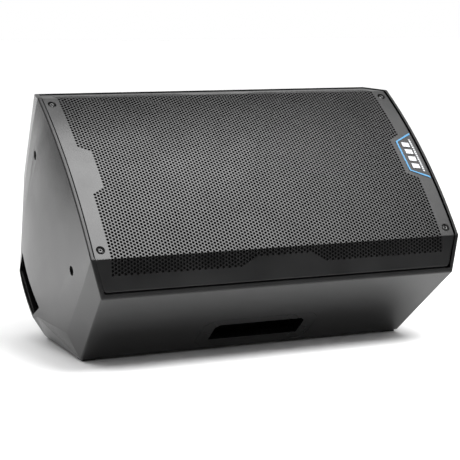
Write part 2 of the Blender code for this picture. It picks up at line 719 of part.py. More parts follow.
def make_amplifier(mats, frame):
    """The panel is a tray across the cut nose, closed at both ends."""
    bm = bmesh.new()
    low, high = BAY_LOW + GAP, BAY_HIGH - GAP
    box_shape(bm, (low, BAY_DEPTH + GAP, -PANEL_HALF), (high, PANEL_FACE, PANEL_HALF))
    panel = add_object("amp_panel", bm, mats["panel"], frame)
    bm = bmesh.new()
    slope = (SIDE_HALF - BACK_HALF) / (BACK_DEPTH - SIDE_DEPTH)
    tip = BACK_DEPTH - 0.0030
    tip_half = PANEL_HALF - (tip - BAY_DEPTH - GAP) * slope
    outline = [(BAY_DEPTH + 0.001, -PANEL_HALF), (BAY_DEPTH + 0.001, PANEL_HALF), (tip, tip_half), (tip, -tip_half)]
    prism_shape(bm, outline, low, low + PANEL_THICK, "x")
    prism_shape(bm, outline, high - PANEL_THICK, high, "x")
    join(panel, "panel_ends", bm, frame)

    bm = bmesh.new()
    for place in (*JACK_PLACES, LINK_PLACE):
        disc_shape(bm, JACK_R + 2 * GAP, 0.29, 0.33, "y", 16, (place[0], 0, place[1]))
    for place in (ENCODER_PLACE, *GAIN_PLACES, BUTTON_PLACE):
        disc_shape(bm, 0.0038, 0.29, 0.33, "y", 16, (place[0], 0, place[1]))
    x, z = INLET_PLACE
    box_shape(bm, (x - 0.0143, 0.29, z - 0.0118), (x + 0.0143, 0.33, z + 0.0118))
    x, z = SWITCH_PLACE
    box_shape(bm, (x - 0.0113, 0.29, z - 0.0073), (x + 0.0113, 0.33, z + 0.0073))
    cut(panel, "panel_holes", bm, frame)

    x, z = SINK_PLACE
    bm = bmesh.new()
    foot = PANEL_FACE + GAP
    tooth, pitch, tall = 0.0022, 0.0088, 0.0170
    count = 9
    outline = [(foot, z - 0.042), (foot, z + 0.042)]
    for step in range(count):
        edge = z + 0.0382 - step * pitch
        outline += [(foot + 0.004, edge + tooth), (foot + tall, edge + tooth / 2)]
        outline += [(foot + tall, edge - tooth / 2), (foot + 0.004, edge - tooth)]
    outline.insert(2, (foot + 0.004, z + 0.042))
    outline.append((foot + 0.004, z - 0.042))
    prism_shape(bm, outline, x - 0.027, x + 0.027, "x")
    add_object("amp_heat_sink", bm, mats["sink"], frame, smooth=20)

    box("amp_circuit_board", (-0.140, 0.2800, -0.060), (0.110, 0.2816, 0.060), mats["board"], frame)
    bm = bmesh.new()
    profile = [(0.010, 0.2290), (0.032, 0.2290), (0.036, 0.2330), (0.036, 0.2610), (0.032, 0.2650), (0.010, 0.2650)]
    turned_shape(bm, profile, "y", 20)
    add_object("power_transformer", bm, mats["coil"], frame, (0.155, 0, 0))
    for number, (x, z) in enumerate(((-0.142, -0.066), (-0.142, 0.066), (0.182, -0.066), (0.182, 0.066)), 1):
        bm = bmesh.new()
        turned_shape(bm, [(0, 0.0004), (0.0030, 0.0004), (0.0026, 0.0018), (0, 0.0020)], "y", 12)
        add_object(f"panel_screw_{number}", bm, mats["screw"], frame, on_panel((x, z)))
    return panel


def make_jacks(mats, frame):
    """Two combination inputs with a sliding latch each, and a plug outlet with three pins."""
    for number, place in enumerate(JACK_PLACES, 1):
        bm = bmesh.new()
        box_shape(bm, (-0.0155, GAP, -0.0130), (0.0155, JACK_FLANGE + GAP, 0.0130))
        jack = add_object(f"combo_jack_{number}", bm, mats["jack"], frame, on_panel(place))
        bm = bmesh.new()
        disc_shape(bm, JACK_R, -0.0200, 0.0010, "y", 16)
        join(jack, f"jack_barrel_{number}", bm, frame, on_panel(place))
        bm = bmesh.new()
        disc_shape(bm, 0.0095, -0.0180, 0.0100, "y", 16)
        box_shape(bm, (-0.0143, 0.0003, -0.0033), (-0.0098, 0.0100, 0.0033))
        cut(jack, f"jack_mouth_{number}", bm, frame, on_panel(place))
        place = (place[0] - 0.0122, place[1])
        box(
            f"jack_latch_{number}",
            (-0.0018, 0.0016, -0.0030),
            (0.0016, 0.0046, 0.0030),
            mats["latch"],
            frame,
            location=on_panel(place),
        )

    bm = bmesh.new()
    box_shape(bm, (-0.0155, GAP, -0.0130), (0.0155, JACK_FLANGE + GAP, 0.0130))
    outlet = add_object("link_output", bm, mats["jack"], frame, on_panel(LINK_PLACE))
    bm = bmesh.new()
    disc_shape(bm, JACK_R, -0.0200, 0.0010, "y", 16)
    join(outlet, "outlet_barrel", bm, frame, on_panel(LINK_PLACE))
    bm = bmesh.new()
    disc_shape(bm, 0.0098, -0.0160, 0.0100, "y", 16)
    cut(outlet, "outlet_mouth", bm, frame, on_panel(LINK_PLACE))
    bm = bmesh.new()
    for step in range(3):
        angle = math.radians(90 + 120 * step)
        centre = (0.0050 * math.cos(angle), 0, 0.0050 * math.sin(angle))
        disc_shape(bm, 0.0012, -0.0170, -0.0040, "y", 8, centre)
    join(outlet, "outlet_pins", bm, frame, on_panel(LINK_PLACE))


def knob_shape(bm, radius, height, bore=0.0033, solid=False):
    """A knob standing along +y, with a blind bore from below or, if solid, its own shaft behind it."""
    skirt = radius * 1.12
    profile = [(skirt, 0), (skirt, 0.0015), (radius, 0.0030), (radius * 0.92, height - 0.001)]
    profile += [(radius * 0.85, height), (0, height)]
    if solid:
        profile += [(0, -0.0120), (0.0030, -0.0120), (0.0030, 0)]
    else:
        profile += [(0, height * 0.5), (bore, height * 0.5), (bore, 0)]
    turned_shape(bm, profile, "y", 16)


def make_controls(mats, frame):
    for number, place in enumerate(GAIN_PLACES, 1):
        bm = bmesh.new()
        knob_shape(bm, 0.0068, 0.0125, solid=True)
        knob = add_object(f"gain_knob_{number}", bm, mats["knob"], frame, on_panel(place, 0.0006))
        bm = bmesh.new()
        box_shape(bm, (-0.0074, 0.0028, -0.0007), (-0.0030, 0.0131, 0.0007))
        join(knob, f"gain_pointer_{number}", bm, frame, on_panel(place, 0.0006))

    bm = bmesh.new()
    knob_shape(bm, 0.0090, 0.0140)
    add_object("menu_knob", bm, mats["knob"], frame, on_panel(ENCODER_PLACE, 0.0016))
    bm = bmesh.new()
    disc_shape(bm, 0.0030, -0.0120, 0.0080, "y", 16)
    add_object("menu_shaft", bm, mats["screw"], frame, on_panel(ENCODER_PLACE))
    bm = bmesh.new()
    turned_shape(bm, [(0, -0.008), (0.0034, -0.008), (0.0034, 0.0026), (0.0028, 0.0032), (0, 0.0032)], "y", 16)
    add_object("select_button", bm, mats["knob"], frame, on_panel(BUTTON_PLACE))
    x, z = DISPLAY_PLACE
    low, high = on_panel((x - 0.013, z - 0.024), GAP), on_panel((x + 0.013, z + 0.024), 0.0022)
    box("display_window", low, high, mats["display"], frame)

    bm = bmesh.new()
    box_shape(bm, (-0.0160, GAP, -0.0140), (0.0160, 0.0025, 0.0140))
    inlet = add_object("mains_inlet", bm, mats["jack"], frame, on_panel(INLET_PLACE))
    bm = bmesh.new()
    box_shape(bm, (-0.0140, -0.0220, -0.0115), (0.0140, 0.0010, 0.0115))
    join(inlet, "inlet_body", bm, frame, on_panel(INLET_PLACE))
    bm = bmesh.new()
    box_shape(bm, (-0.0120, -0.0180, -0.0085), (0.0120, 0.0100, 0.0085))
    cut(inlet, "inlet_mouth", bm, frame, on_panel(INLET_PLACE))
    bm = bmesh.new()
    for x, z in ((-0.007, -0.003), (0.0, 0.003), (0.007, -0.003)):
        box_shape(bm, (x - 0.0010, -0.0190, z - 0.0020), (x + 0.0010, -0.0030, z + 0.0020))
    join(inlet, "inlet_pins", bm, frame, on_panel(INLET_PLACE))

    bm = bmesh.new()
    box_shape(bm, (-0.0135, GAP, -0.0095), (0.0135, 0.0020, 0.0095))
    housing = add_object("switch_housing", bm, mats["jack"], frame, on_panel(SWITCH_PLACE))
    bm = bmesh.new()
    box_shape(bm, (-0.0110, -0.0180, -0.0070), (0.0110, 0.0010, 0.0070))
    join(housing, "housing_body", bm, frame, on_panel(SWITCH_PLACE))
    bm = bmesh.new()
    box_shape(bm, (-0.0100, -0.0150, -0.0060), (0.0100, 0.0100, 0.0060))
    cut(housing, "housing_well", bm, frame, on_panel(SWITCH_PLACE))
    bm = bmesh.new()
    outline = [(-0.0088, -0.0040), (0.0088, -0.0040), (0.0088, 0.0012), (0.0, 0.0010), (-0.0086, 0.0046)]
    prism_shape(bm, outline, -0.0056, 0.0056, "z")
    add_object("power_rocker", bm, mats["latch"], frame, on_panel(SWITCH_PLACE, 0.0))


def make_wadding(mats, frame):
    box("acoustic_wadding", (-0.268, 0.110, -0.095), (-0.245, 0.225, 0.095), mats["foam"], frame, 0.006)


def cabinet_frame():
    """An empty that tips the cabinet onto its lower 45 degree face and centres its outline on the floor."""
    frame = bpy.data.objects.new("cabinet_frame", None)
    bpy.context.scene.collection.objects.link(frame)
    lean, rise = math.sin(WEDGE_ANGLE), math.cos(WEDGE_ANGLE)
    front = -RIM_HALF * lean + RIM_DEPTH * rise
    rear = SIDE_HALF * lean + SIDE_DEPTH * rise
    floor = -SIDE_HALF * rise - SIDE_DEPTH * lean - FOOT_HEIGHT
    reach = cap_face(CAP_CREASE[1], 0.0)
    frame.location = ((reach - END_FOOT_REACH) / 2, -(front + rear) / 2, -floor)
    frame.rotation_euler = (-WEDGE_ANGLE, 0, 0)
    return frame


def make_materials():
    return {
        "shell": plastic("cabinet plastic", (0.030, 0.030, 0.031), 0.55),
        "baffle": plastic("baffle plastic", (0.020, 0.020, 0.021), 0.60),
        "handle": plastic("handle plastic", (0.012, 0.012, 0.013), 0.55),
        "grille": plastic("grille powder coat", (0.055, 0.055, 0.057), 0.50, 0.3),
        "foam": plastic("acoustic foam", (0.008, 0.008, 0.008), 0.95),
        "screw": plastic("blackened steel", (0.10, 0.10, 0.10), 0.35, 1.0),
        "badge": plastic("badge", (0.02, 0.20, 0.38), 0.35),
        "basket": plastic("basket steel", (0.03, 0.03, 0.03), 0.45, 0.6),
        "magnet": plastic("magnet", (0.06, 0.06, 0.065), 0.50, 0.5),
        "cone": plastic("paper cone", (0.020, 0.020, 0.022), 0.85),
        "coil": plastic("coil winding", (0.45, 0.22, 0.09), 0.40, 0.8),
        "rubber": plastic("rubber", (0.012, 0.012, 0.012), 0.80),
        "cloth": plastic("spider cloth", (0.35, 0.24, 0.10), 0.90),
        "gloss": plastic("horn plastic", (0.010, 0.010, 0.011), 0.30),
        "panel": plastic("panel paint", (0.025, 0.025, 0.027), 0.45, 0.4),
        "sink": plastic("heat sink", (0.05, 0.05, 0.052), 0.40, 0.9),
        "board": plastic("circuit board", (0.02, 0.15, 0.05), 0.50),
        "jack": plastic("connector plastic", (0.015, 0.015, 0.016), 0.40),
        "latch": plastic("latch plastic", (0.05, 0.05, 0.05), 0.35),
        "knob": plastic("knob rubber", (0.03, 0.03, 0.03), 0.60),
        "display": plastic("display glass", (0.01, 0.03, 0.05), 0.08),
    }


def main():
    clear_scene()
    frame = cabinet_frame()
    mats = make_materials()
    make_cabinet(mats, frame)
    make_grille(mats, frame)
    make_baffle(mats, frame)
    make_woofer(mats, frame)
    make_horn(mats, frame)
    make_ports(mats, frame)
    make_side_handles(mats, frame)
    make_top_handle(mats, frame)
    make_rigging(mats, frame)
    make_pole_socket(mats, frame)
    make_feet(mats, frame)
    make_amplifier(mats, frame)
    make_jacks(mats, frame)
    make_controls(mats, frame)
    make_wadding(mats, frame)


main()
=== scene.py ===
"""Looks for a stage monitor wedge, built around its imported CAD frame.

Most pieces are made in the cabinet's own frame and then placed by one matrix:
x runs along the cabinet, y back from its front face, and z across its width.
"""

import json
import math

import bmesh
import bpy
import numpy as np
from mathutils import Matrix, Vector
from mathutils.geometry import delaunay_2d_cdt


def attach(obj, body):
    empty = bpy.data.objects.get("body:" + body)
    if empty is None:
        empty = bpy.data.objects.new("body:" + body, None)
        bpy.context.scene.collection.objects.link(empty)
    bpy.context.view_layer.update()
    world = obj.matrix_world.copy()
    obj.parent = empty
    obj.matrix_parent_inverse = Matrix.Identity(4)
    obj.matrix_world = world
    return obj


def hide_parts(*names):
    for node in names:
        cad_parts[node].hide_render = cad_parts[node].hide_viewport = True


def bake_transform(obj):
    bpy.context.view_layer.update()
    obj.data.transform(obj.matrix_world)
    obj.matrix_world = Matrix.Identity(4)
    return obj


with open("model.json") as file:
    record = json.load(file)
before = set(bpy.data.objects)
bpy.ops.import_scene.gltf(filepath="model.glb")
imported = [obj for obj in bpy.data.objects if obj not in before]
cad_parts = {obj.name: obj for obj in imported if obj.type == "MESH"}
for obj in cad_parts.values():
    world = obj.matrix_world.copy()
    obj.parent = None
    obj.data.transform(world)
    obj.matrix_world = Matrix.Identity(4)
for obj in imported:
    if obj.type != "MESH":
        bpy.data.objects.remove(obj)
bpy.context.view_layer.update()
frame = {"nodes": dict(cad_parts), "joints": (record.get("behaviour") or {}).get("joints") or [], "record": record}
SLOTS = {row["node"]: row["material_slot"] for row in frame["record"]["subparts"]}

# Front of the cabinet, as the CAD has it.
FRONT_HALF = 0.1505
FRONT_CROWN = 0.0136
RIM_HALF = 0.1925
RIM_DEPTH = 0.0366
FRONT_REACH = 0.29675
RIM_REACH = 0.28365
PANEL_FACE = 0.3053
CONTROL_STEP = 0.0060
GAIN_X = -0.0480
CAP_EDGE = (  # depth of the end face's outline, and its half width there
    (0.0, 0.0600, 0.1965, 0.2640, 0.2800, 0.3395),
    (0.1505, 0.1490, 0.1340, 0.0550, 0.0450, 0.0410),
)
CAP_EDGE_SLACK = 0.0006
CHAMFER_SPLIT = ((0.1965, 0.1340), (0.2080, 0.1760))
END_FACING = 0.55
END_FROM = 0.245
RIM_FACING = -0.5
RIM_BACK = RIM_DEPTH + 0.002

# Perforated sheet.
GRILLE_INSET = 0.0066
SHEET = 0.0010
STRIPS = 4
GRILLE_RECESS = 0.0015
EDGE_ROLL = 0.0014
EDGE_DEPTH = 0.0060
PITCH = 0.00536
COLUMN = PITCH * math.sqrt(3) / 2
LATTICE = (60, 36)
OUTLINE_CORNER = 0.0030
OUTLINE_STEP = 0.0045
HOLE_R = 0.00211
FIELD_HALF = 0.2670
FIELD_DEPTH = 0.1712
TAB_REACH = 0.2500
TAB_HALF = (0.0350, 0.0450)
NOTCH_HALF = (0.0455, 0.0735)
NOTCH_DEPTH = 0.1595
FOLD_R = 0.0020
SCREW_X = 0.2787
SCREW_Z = 0.1360
DIMPLE_R = 0.0066
DIMPLE_DEPTH = 0.0030
DIMPLE_FLOOR_R = 0.0048
SCREW_HOLE_R = 0.0028
SCREW_RINGS = (SCREW_HOLE_R, DIMPLE_FLOOR_R, 0.0053, 0.0058, DIMPLE_R, 0.0078)
RING_POINTS = 24
SCREW_CLEARANCE = 0.0095
SCREW_SOCKET_R = 0.0018
SCREW_HEAD = (  # closed (radius, along) section, with along measured into the cabinet
    (SCREW_SOCKET_R, -0.0002),
    (SCREW_SOCKET_R, -0.0021),
    (0.0027, -0.0023),
    (0.0036, -0.0018),
    (0.0042, -0.0009),
    (0.0042, -0.0001),
    (0.0023, -0.0001),
    (0.0023, 0.0120),
    (0.0001, 0.0120),
    (0.0001, -0.0002),
)

# Extra points that keep the triangles even in the plain margins. A run is start, stop and step.
MARGIN_X = (-0.2845, -0.2785, -0.2725, 0.2725, 0.2785, 0.2845)
MARGIN_W = (-0.198, 0.199, 0.0055)
MARGIN_END_X = 0.277
FOLD_X = (0.2690, 0.2865, 0.0035)
EDGE_X = (-0.27, 0.271, 0.009)
EDGE_Z = 0.1805

# Foam and badge.
FOAM_DEPTH = 0.0033
FOAM_THICK = 0.0032
FOAM_GRID = (79, 121)
FOAM_SIDE_INSET = 0.0030
FOAM_END_INSET = 0.0035
FOAM_SWELL = 0.0003
FOAM_WAVES = (410, 530)
BADGE_X = (0.2560, 0.2875)
BADGE_HALF = (0.0300, 0.0465)
BADGE_SHEET = (0.0001, 0.0005)  # heights over the grille
BADGE_LIFT = (0.0003, 0.0008)
BADGE_LINE = 0.0026
BADGE_ROWS = (  # near x, far x, count, pitch and slant of each row of plain marks
    (0.2645, 0.2765, 4, 0.0146, 0.0010),
    (0.2795, 0.2825, 16, 0.0042, 0.0007),
)
BADGE_MARK_SHARE = 0.30

# Driver and wadding.
WOOFER_X = 0.1240
SURROUND_RADII = (0.1243, 0.1357)
SURROUND_FACE = 0.0215
SURROUND_RISE = 0.0070
SURROUND_SHEET = 0.0014
SPIDER_RADII = (0.0380, 0.0750)
SPIDER_HOLD = (0.0395, 0.0735)
SPIDER_FACE = 0.0999
SPIDER_WAVE = 0.0009
SPIDER_SHEET = 0.0008
WADDING_BOX = ((-0.268, 0.110, -0.095), (-0.245, 0.225, 0.095))

# Refining of CAD nodes: a merge distance, and two angles in degrees.
MERGE_WITHIN = 0.00002
FLAT_WITHIN = 0.4
STEEP = 50

# Studio: a white surround. The lower front mirrors a dim patch behind the camera.
# The end face mirrors a veil beyond the cabinet.
DIM_AIM = (0.35, -0.92, 0.05)
DIM_SPAN = (0.30, 0.75)
SKY_LEVELS = (1.05, 0.03)
BACK_AIM = (-0.42, 0.9, 0.0)
BACK_SPAN = (0.35, 0.98)
BACK_LEVEL = 0.42
FILL_SPAN = (0.35, 0.85)
FILL_LEVELS = (0.24, 1.75)
FLOOR_REACH = 30.0
FLOOR_NEAR = -0.85
FLOOR_LEFT = -1.35
LIGHTS = (  # name, place, aim, size, watts, and whether it lights surfaces or is only mirrored in them
    ("overhead_softbox", (0.25, -1.2, 1.95), (0, 0, 0.1), (0.9, 0.8), 54, True),
    ("overhead_sheen", (0.16, -0.86, 1.9), (0.1, 0, 0.2), (2.2, 2.4), 180, False),
    ("rear_softbox", (-1.2, 1.1, 1.2), (-0.75, 0.65, 0), (0.9, 0.9), 3.0, True),
)
CAMERA_PLACE = (-1.02678, -2.09435, 0.22047)  # from the cabinet's own origin
CAMERA_YAW = 25.304
CAMERA_PITCH = 7.681
CAMERA_LENS = 122.96


def cabinet_matrix():
    """The cabinet's frame, from the two level knobs, which stand on its back at known places in it."""
    joints = {joint["name"]: joint for joint in frame["joints"]}
    upper, lower = (Vector(joints[f"gain_{n}_turn"]["pos_m"]) for n in (1, 2))
    z_axis = (upper - lower).normalized()
    y_axis = Vector(joints["gain_1_turn"]["axis"])
    y_axis = (y_axis - y_axis.dot(z_axis) * z_axis).normalized()
    x_axis = y_axis.cross(z_axis)
    origin = (upper + lower) / 2 - y_axis * (PANEL_FACE + CONTROL_STEP) - x_axis * GAIN_X
    turn = Matrix((x_axis, y_axis, z_axis)).transposed()
    return Matrix.Translation(origin) @ turn.to_4x4()


CABINET = cabinet_matrix()


# ---------------------------------------------------------------- materials


def link_noise(nodes, links, place, scale, detail=3.0, roughness=0.55):
    made = nodes.new("ShaderNodeTexNoise")
    made.inputs["Scale"].default_value = scale
    made.inputs["Detail"].default_value = detail
    made.inputs["Roughness"].default_value = roughness
    links.new(place, made.inputs["Vector"])
    return made


def spread(nodes, links, value, low, high):
    """Maps a 0 to 1 value onto a range."""
    made = nodes.new("ShaderNodeMapRange")
    made.inputs["From Min"].default_value = 0.25
    made.inputs["From Max"].default_value = 0.75
    made.inputs["To Min"].default_value = low
    made.inputs["To Max"].default_value = high
    links.new(value, made.inputs["Value"])
    return made.outputs["Result"]


def finish_of(
    name,
    colour,
    roughness,
    metallic=0.0,
    mottle=0.12,
    patch=0.06,
    gloss_spread=0.06,
    grain=0.0007,
    relief=0.00004,
    cells=False,
    stretch=None,
    sockets=(),
):
    """A procedural finish: uneven colour and gloss over patches, and a fine surface grain."""
    material = bpy.data.materials.new(name)
    material.use_nodes = True
    nodes, links = material.node_tree.nodes, material.node_tree.links
    shader = nodes["Principled BSDF"]
    shader.inputs["Metallic"].default_value = metallic
    for socket, value in dict(sockets).items():
        shader.inputs[socket].default_value = value
    place = nodes.new("ShaderNodeTexCoord").outputs["Object"]
    if stretch:
        mapping = nodes.new("ShaderNodeMapping")
        mapping.inputs["Scale"].default_value = stretch
        links.new(place, mapping.inputs["Vector"])
        place = mapping.outputs["Vector"]
    broad = link_noise(nodes, links, place, 1 / patch)
    speck = link_noise(nodes, links, place, 0.5 / grain, 2.0)
    both = nodes.new("ShaderNodeMix")
    both.data_type = "FLOAT"
    both.inputs[0].default_value = 0.35
    links.new(broad.outputs["Fac"], both.inputs[2])
    links.new(speck.outputs["Fac"], both.inputs[3])
    tint = nodes.new("ShaderNodeMix")
    tint.data_type = "RGBA"
    links.new(spread(nodes, links, both.outputs[0], 0.0, 1.0), tint.inputs[0])
    tint.inputs[6].default_value = (*(c * (1 - mottle) for c in colour), 1)
    tint.inputs[7].default_value = (*(min(1, c * (1 + mottle)) for c in colour), 1)
    links.new(tint.outputs[2], shader.inputs["Base Color"])
    ends = (roughness - gloss_spread, roughness + gloss_spread)
    gloss = spread(nodes, links, broad.outputs["Fac"], *ends)
    links.new(gloss, shader.inputs["Roughness"])
    if cells:
        texture = nodes.new("ShaderNodeTexVoronoi")
        texture.feature = "SMOOTH_F1"
        texture.inputs["Scale"].default_value = 1 / grain
        links.new(place, texture.inputs["Vector"])
        height = texture.outputs["Distance"]
    else:
        height = link_noise(nodes, links, place, 1 / grain, 3.0).outputs["Fac"]
    bump = nodes.new("ShaderNodeBump")
    bump.inputs["Strength"].default_value = 1.0
    bump.inputs["Distance"].default_value = relief
    links.new(height, bump.inputs["Height"])
    links.new(bump.outputs["Normal"], shader.inputs["Normal"])
    return material


MATT = (("Specular IOR Level", 0.05),)
DULL = (("Specular IOR Level", 0.27),)
SATIN = (("Specular IOR Level", 0.36),)
MOULDED = (("Specular IOR Level", 0.44),)


def make_finishes():
    made = {}

    def add(slot, *args, **more):
        made[slot] = finish_of(slot, *args, **more)

    moulded = {"grain": 0.0009, "relief": 0.00004, "gloss_spread": 0.03, "cells": True}
    moulded["sockets"] = MOULDED
    foam = {"grain": 0.0012, "relief": 0.0004, "cells": True, "sockets": MATT}
    add("cabinet_plastic", (0.0012, 0.0012, 0.0013), 0.23, **moulded)
    add("rim_plastic", (0.0012, 0.0012, 0.0013), 0.40, grain=0.0009, sockets=DULL)
    add("baffle_plastic", (0.018, 0.018, 0.019), 0.60, cells=True, grain=0.0009)
    add("grille_steel", (0.004, 0.004, 0.0041), 0.34, grain=0.00035, relief=0.00001, sockets=SATIN)
    add("acoustic_foam", (0.002, 0.002, 0.002), 0.95, **foam)
    add("black_steel", (0.05, 0.05, 0.05), 0.34, metallic=1.0, grain=0.0004, relief=0.00001)
    add("badge", (0.004, 0.004, 0.0041), 0.36, grain=0.0004, relief=0.000005, sockets=SATIN)
    add("badge_mark", (0.46, 0.47, 0.48), 0.50, grain=0.0004, relief=0.000005)
    add("basket_steel", (0.03, 0.03, 0.03), 0.45, metallic=0.4, grain=0.0008)
    add("magnet_iron", (0.06, 0.06, 0.065), 0.50, metallic=0.5, grain=0.0012)
    add("paper_cone", (0.020, 0.020, 0.022), 0.85, grain=0.0015, relief=0.0001)
    add("coil_copper", (0.45, 0.22, 0.09), 0.40, metallic=0.8, grain=0.0006)
    add("rubber", (0.012, 0.012, 0.012), 0.78, grain=0.0010, relief=0.00005)
    add("spider_cloth", (0.35, 0.24, 0.10), 0.90, grain=0.0008, relief=0.0002)
    add("horn_plastic", (0.010, 0.010, 0.011), 0.30, grain=0.0006, relief=0.00001)
    add("handle_plastic", (0.0012, 0.0012, 0.0013), 0.26, **moulded)
    add("panel_paint", (0.022, 0.022, 0.024), 0.50, metallic=0.2, grain=0.0006, relief=0.00005)
    brushed = {"metallic": 0.9, "grain": 0.0005, "stretch": (0.1, 1, 1)}
    add("heat_sink_aluminium", (0.04, 0.04, 0.042), 0.42, **brushed)
    add("circuit_board", (0.02, 0.15, 0.05), 0.50)
    add("connector_plastic", (0.014, 0.014, 0.015), 0.40, grain=0.0005)
    add("knob_rubber", (0.03, 0.03, 0.03), 0.60, grain=0.0006)
    add("display_glass", (0.01, 0.02, 0.03), 0.08, relief=0.0, gloss_spread=0.02)
    add("badge_line", (0.010, 0.15, 0.31), 0.50, grain=0.0004, relief=0.000005)
    return made


FINISH = make_finishes()


# ---------------------------------------------------------------- mesh helpers


def to_world(points):
    """Cabinet-frame points as rows of an array, placed in the row frame."""
    matrix = np.array(CABINET)
    return points @ matrix[:3, :3].T + matrix[:3, 3]


def mesh_object(name, points, faces, slot, body, smooth=30, material=None, free=False):
    """A named piece from cabinet-frame points and faces, riding on a body."""
    mesh = bpy.data.meshes.new(name)
    points = np.asarray(points, float)
    mesh.from_pydata(to_world(points).tolist(), [], faces)
    mesh.validate()
    closed = bmesh.new()
    closed.from_mesh(mesh)
    bmesh.ops.recalc_face_normals(closed, faces=closed.faces)
    closed.to_mesh(mesh)
    closed.free()
    mesh.shade_smooth()
    mesh.set_sharp_from_angle(angle=math.radians(smooth))
    made = bpy.data.objects.new(name, mesh)
    bpy.context.scene.collection.objects.link(made)
    mesh.materials.append(material or FINISH[slot])
    if not free:
        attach(made, body)
    return made


def front_curve():
    """The front's section as arrays: distance along it from the middle, z, y, and its tilt."""
    step, reach = 0.0001, 0.21
    ahead = np.arange(0, reach, step)
    crown_angle = np.arctan(2 * FRONT_CROWN * ahead / FRONT_HALF**2)
    facet = math.atan2(RIM_DEPTH, RIM_HALF - FRONT_HALF)
    z_on_crown = np.concatenate([[0], np.cumsum(np.cos(crown_angle))[:-1] * step])
    bend = float(np.interp(FRONT_HALF, z_on_crown, ahead))
    share = np.clip((ahead - bend + FOLD_R) / (2 * FOLD_R), 0, 1)
    share = share * share * (3 - 2 * share)
    tilt = crown_angle * (1 - share) + facet * share
    z = np.concatenate([[0], np.cumsum(np.cos(tilt))[:-1] * step])
    y = -FRONT_CROWN + np.concatenate([[0], np.cumsum(np.sin(tilt))[:-1] * step])
    along, z, tilt = (np.concatenate([-half[:0:-1], half]) for half in (ahead, z, tilt))
    return along, z, np.concatenate([y[:0:-1], y]), tilt, bend


ALONG, CURVE_Z, CURVE_Y, CURVE_TILT, BEND = front_curve()


def on_front(x, w, depth):
    """Cabinet-frame points at a length x, a distance w along the section, and a depth behind it."""
    x, w, depth = np.broadcast_arrays(*(np.asarray(value, float) for value in (x, w, depth)))
    z, y = np.interp(w, ALONG, CURVE_Z), np.interp(w, ALONG, CURVE_Y)
    tilt = np.interp(w, ALONG, CURVE_TILT)
    return np.stack([x, y + depth * np.cos(tilt), z - depth * np.sin(tilt)], axis=-1)


def across(z):
    """Distance along the front's section for a half width."""
    return float(np.interp(z, CURVE_Z, ALONG))


# ---------------------------------------------------------------- grille


def field_limit(x):
    """How far from the middle the holes reach on the bent sides, as a half width."""
    near, far = NOTCH_HALF
    share = min(1.0, max(0.0, (abs(x) - near) / (far - near)))
    return NOTCH_DEPTH + share * (FIELD_DEPTH - NOTCH_DEPTH)


def hole_places():
    """Lattice indices of the holes, and their (x, w) places."""
    kept = {}
    for i in range(-LATTICE[0], LATTICE[0] + 1):
        for j in range(-LATTICE[1], LATTICE[1] + 1):
            x, w = i * COLUMN, (j + 0.5 * (i % 2)) * PITCH
            z = float(np.interp(w, ALONG, CURVE_Z))
            if abs(x) + HOLE_R > FIELD_HALF or abs(w) + HOLE_R > across(field_limit(x)):
                continue
            near, far = TAB_HALF
            edge = TAB_REACH + (FIELD_HALF - TAB_REACH) * min(1, max(0, (abs(z) - near) / (far - near)))
            if abs(x) + HOLE_R > edge:
                continue
            kept[i, j] = (x, w)
    return kept


def screw_places():
    """The four grille screws as (x, w) places."""
    return [(x, across(z)) for x in (-SCREW_X, SCREW_X) for z in (-SCREW_Z, SCREW_Z)]


def grille_outline(inset):
    """The sheet's outline as (x, w) points, anticlockwise, a few millimetres apart."""
    half = RIM_HALF - GRILLE_INSET
    share = (half - FRONT_HALF) / (RIM_HALF - FRONT_HALF)
    long_x = FRONT_REACH - GRILLE_INSET - inset
    short_x = FRONT_REACH + share * (RIM_REACH - FRONT_REACH) - GRILLE_INSET - inset
    bend, edge = BEND, across(half) - inset
    corner = OUTLINE_CORNER
    corners = [
        (short_x, -edge + corner),
        (long_x, -bend),
        (long_x, bend),
        (short_x, edge - corner),
        (short_x - corner, edge),
        (-short_x + corner, edge),
        (-short_x, edge - corner),
        (-long_x, bend),
        (-long_x, -bend),
        (-short_x, -edge + corner),
        (-short_x + corner, -edge),
        (short_x - corner, -edge),
    ]
    points = []
    for here, start in enumerate(corners):
        end = corners[(here + 1) % len(corners)]
        count = max(1, round(math.dist(start, end) / OUTLINE_STEP))
        for step in range(count):
            share = step / count
            points.append(tuple(a + (b - a) * share for a, b in zip(start, end)))
    return points


